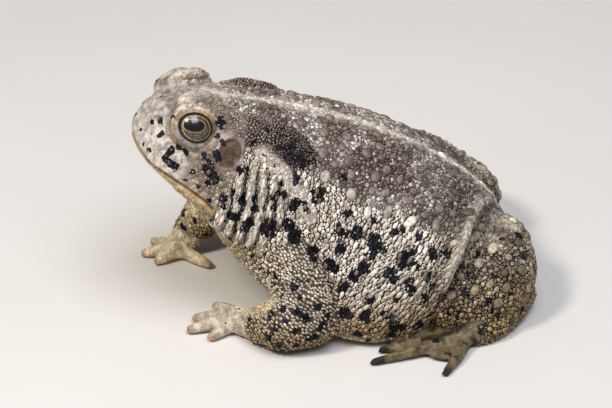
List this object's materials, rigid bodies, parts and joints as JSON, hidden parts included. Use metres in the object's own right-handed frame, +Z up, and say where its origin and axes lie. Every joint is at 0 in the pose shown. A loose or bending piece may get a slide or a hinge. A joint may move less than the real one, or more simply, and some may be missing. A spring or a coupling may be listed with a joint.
{
  "type": "woodhouse's toad model",
  "caption": "Life-size still model of a warty toad sitting with its head raised, belly on the floor and hind legs folded.",
  "frame": {"origin": "centre of the bounding box on the floor that the toad rests on", "axes": "+Z up, the toad faces -Y, its left side is +X"},
  "size_m": [0.0932, 0.0929, 0.0587],
  "materials": {
    "skin": "dry warty skin, cream and grey-brown with blue-black blotches",
    "eye": "clear gloss over a gold-brown iris and a black pupil"
  },
  "bodies": {
    "root": {"head": "skin", "lower_jaw": "skin", "torso": "skin", "eye_left": "eye", "eye_right": "eye", "eardrum_left": "skin", "eardrum_right": "skin", "upper_arm_left": "skin", "upper_arm_right": "skin", "forearm_left": "skin", "forearm_right": "skin", "hand_left": "skin", "hand_right": "skin", "thigh_left": "skin", "thigh_right": "skin", "shank_left": "skin", "shank_right": "skin", "foot_left": "skin", "foot_right": "skin"}
  },
  "joints": []
}
